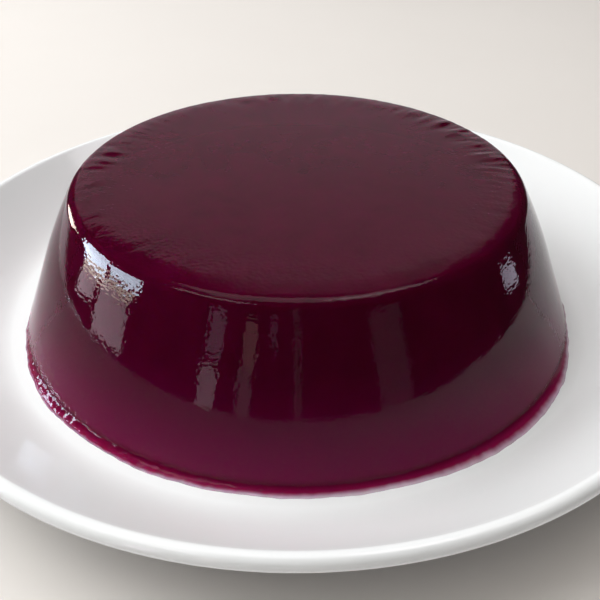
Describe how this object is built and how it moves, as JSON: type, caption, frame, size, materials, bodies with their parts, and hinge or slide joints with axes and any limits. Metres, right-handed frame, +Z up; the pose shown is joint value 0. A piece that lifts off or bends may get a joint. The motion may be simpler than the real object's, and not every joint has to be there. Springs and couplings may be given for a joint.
{
  "type": "moulded jelly",
  "caption": "Deep purple moulded jelly, a low round tapered block with a soft shoulder and a thin spread foot, turned out on a plain white coupe plate.",
  "frame": {"origin": "on the table, under the middle of the plate's foot ring", "axes": "+Z up through the middle of the jelly, -Y towards the viewer of the picture, +X to that viewer's right"},
  "size_m": [0.27, 0.27, 0.058],
  "materials": {
    "glaze": "smooth white glaze, glossy",
    "gel": "translucent gel, wet gloss with fine ripples"
  },
  "bodies": {
    "root": {"plate": "glaze", "jelly": "gel"}
  },
  "joints": []
}
